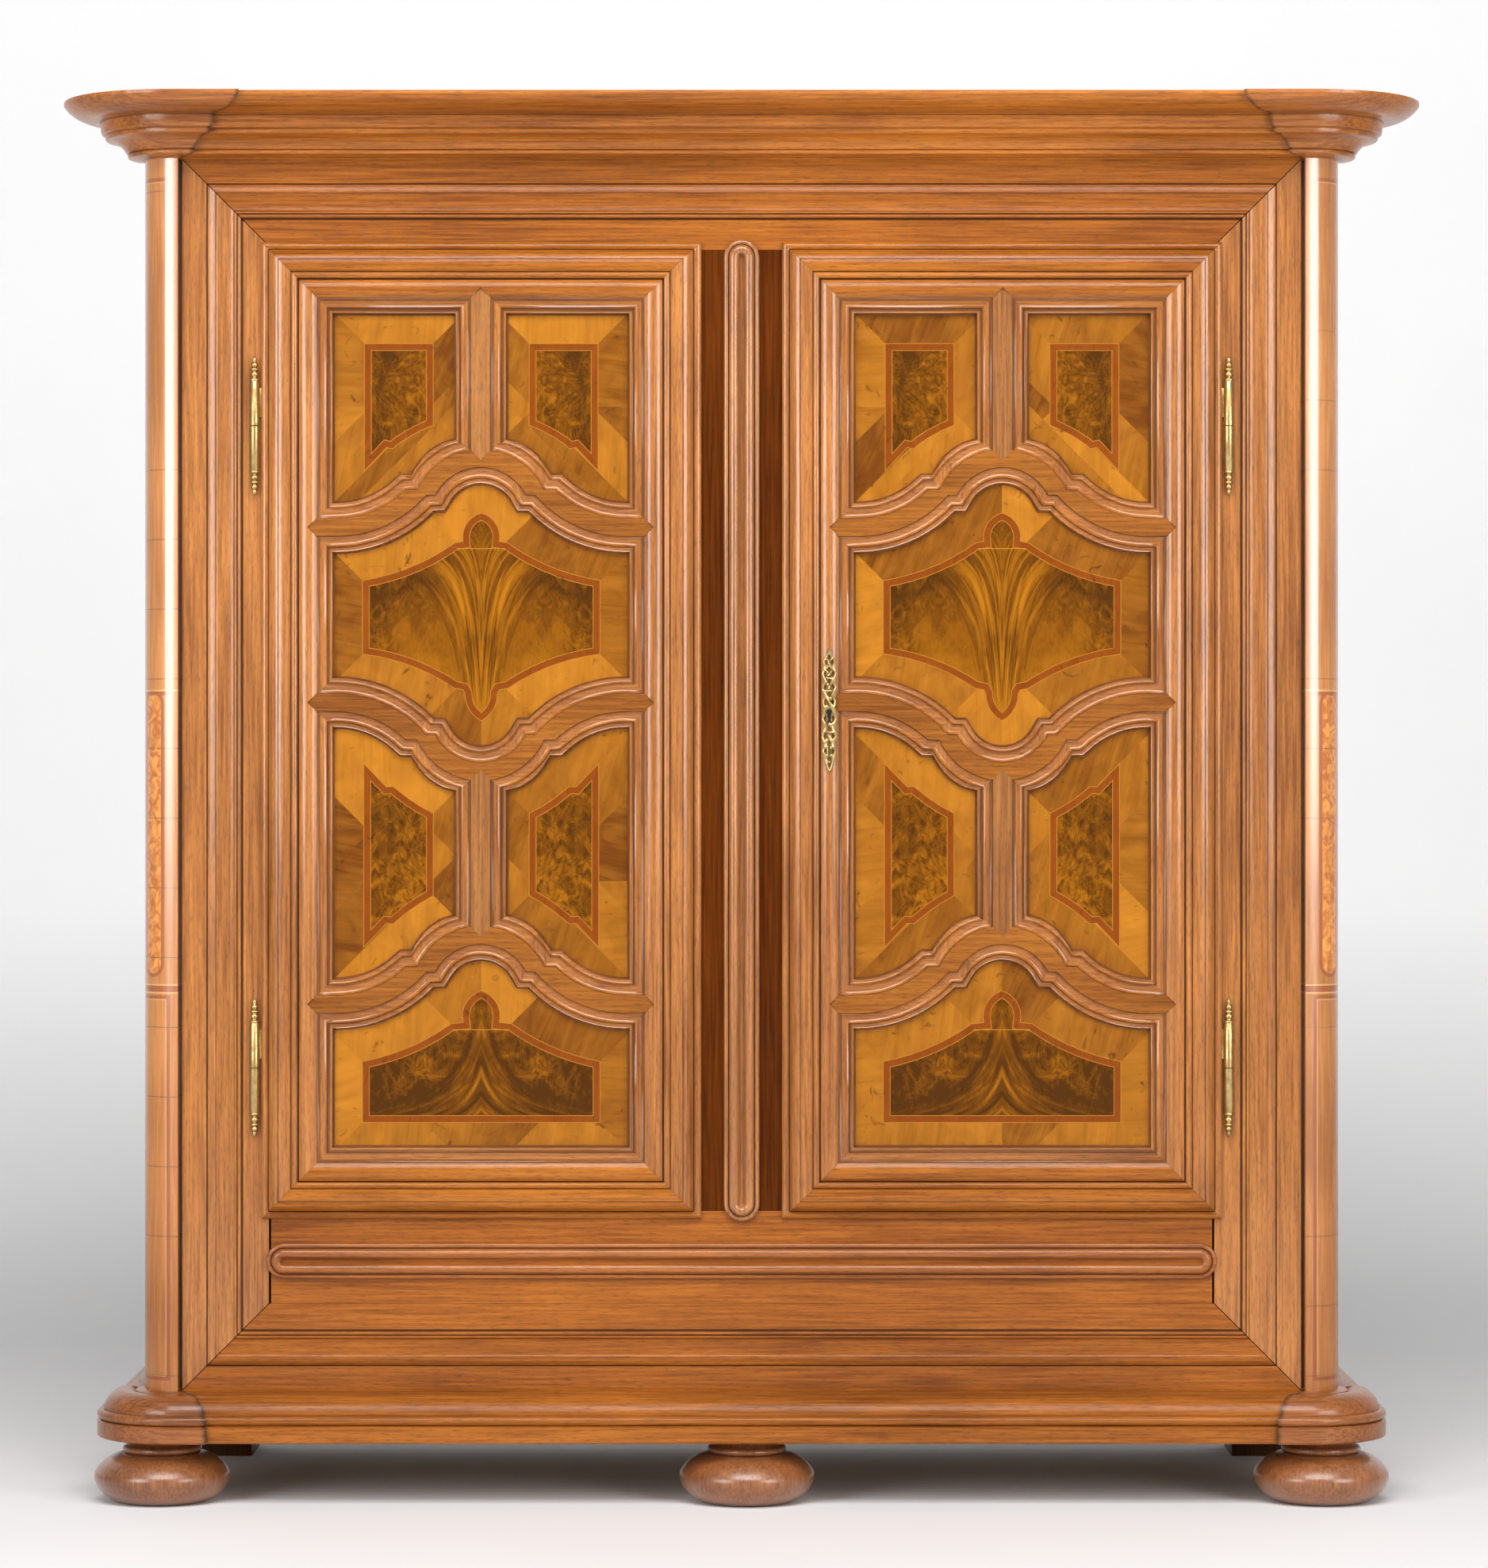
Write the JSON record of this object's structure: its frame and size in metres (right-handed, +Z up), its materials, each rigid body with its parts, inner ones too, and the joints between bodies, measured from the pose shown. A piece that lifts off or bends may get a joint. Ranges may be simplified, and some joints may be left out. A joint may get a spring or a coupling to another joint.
{
  "type": "wardrobe",
  "caption": "Two-door panelled oak wardrobe on bun feet, with arched inlaid panels, moulded cornice, finial hinges, lock, slide bolts, hat shelf and clothes rail.",
  "frame": {"origin": "middle of the bounding box, on the floor under the feet", "axes": "+Z up, -Y towards the front of the doors, +X to the right seen from the front"},
  "size_m": [2.058, 0.78, 2.117],
  "materials": {
    "oak_upright": "waxed golden oak, grain upright",
    "oak_across": "waxed golden oak, grain along the rail",
    "oak_moulding": "waxed golden oak moulding",
    "oak_side": "waxed oak, grain front to back",
    "oak_corner": "waxed oak, turned corner blocks",
    "foot_wood": "dark stained turned wood, polished",
    "column_veneer": "walnut veneer with inlaid bands, polished",
    "inlaid_walnut": "burr walnut with inlaid bands, polished",
    "softwood": "plain softwood",
    "brass": "aged brass",
    "iron": "dark wrought iron"
  },
  "bodies": {
    "case": {"bun_feet": "foot_wood", "rear_feet": "foot_wood", "plinth_front": "oak_across", "plinth_corner_left": "oak_corner", "plinth_corner_right": "oak_corner", "plinth_sides": "oak_side", "plinth_back": "softwood", "floor_boards": "softwood", "corner_column_left": "column_veneer", "corner_column_right": "column_veneer", "side_rails_left": "oak_side", "side_rails_right": "oak_side", "side_panels_left": "oak_upright", "side_panels_right": "oak_upright", "rear_stiles": "oak_upright", "back_boards": "softwood", "front_stile_left": "oak_upright", "front_stile_right": "oak_upright", "frieze_rail": "oak_across", "bottom_rail": "oak_across", "centre_post": "oak_upright", "centre_strip": "oak_upright", "base_strip": "oak_across", "cornice_front": "oak_across", "cornice_corner_left": "oak_corner", "cornice_corner_right": "oak_corner", "cornice_sides": "oak_side", "cornice_back": "softwood", "top_boards": "softwood", "hat_shelf": "softwood", "shelf_battens": "softwood", "clothes_rail": "softwood", "rail_brackets": "softwood", "left_hinge_frame_halves": "brass", "right_hinge_frame_halves": "brass", "lock_keeper": "iron"},
    "left_door": {"left_hinge_stile": "oak_upright", "left_meeting_stile": "oak_upright", "left_top_rail": "oak_across", "left_bottom_rail": "oak_across", "left_serpentine_rails": "oak_across", "left_muntins": "oak_upright", "left_panels": "inlaid_walnut", "left_panel_mouldings": "oak_moulding", "left_hinge_door_halves": "brass", "bolt_guides": "iron"},
    "right_door": {"right_hinge_stile": "oak_upright", "right_lock_stile": "oak_upright", "right_top_rail": "oak_across", "right_bottom_rail": "oak_across", "right_serpentine_rails": "oak_across", "right_muntins": "oak_upright", "right_panels": "inlaid_walnut", "right_panel_mouldings": "oak_moulding", "right_hinge_door_halves": "brass", "lock_case": "iron", "escutcheon": "brass"},
    "lock_bolt": {"lock_bolt": "iron"},
    "upper_bolt": {"upper_bolt": "iron"},
    "lower_bolt": {"lower_bolt": "iron"}
  },
  "joints": [
    {"name": "left_door_swing", "type": "hinge", "parent": "case", "child": "left_door", "pos_m": [-0.736, -0.261, 1.17], "axis": [0, 0, -1], "range_deg": [0, 105]},
    {"name": "right_door_swing", "type": "hinge", "parent": "case", "child": "right_door", "pos_m": [0.736, -0.261, 1.17], "axis": [0, 0, 1], "range_deg": [0, 105]},
    {"name": "lock_bolt_slide", "type": "slide", "parent": "right_door", "child": "lock_bolt", "axis": [-1, 0, 0], "range_m": [0, 0.02]},
    {"name": "upper_bolt_slide", "type": "slide", "parent": "left_door", "child": "upper_bolt", "axis": [0, 0, 1], "range_m": [0, 0.02]},
    {"name": "lower_bolt_slide", "type": "slide", "parent": "left_door", "child": "lower_bolt", "axis": [0, 0, -1], "range_m": [0, 0.02]}
  ]
}
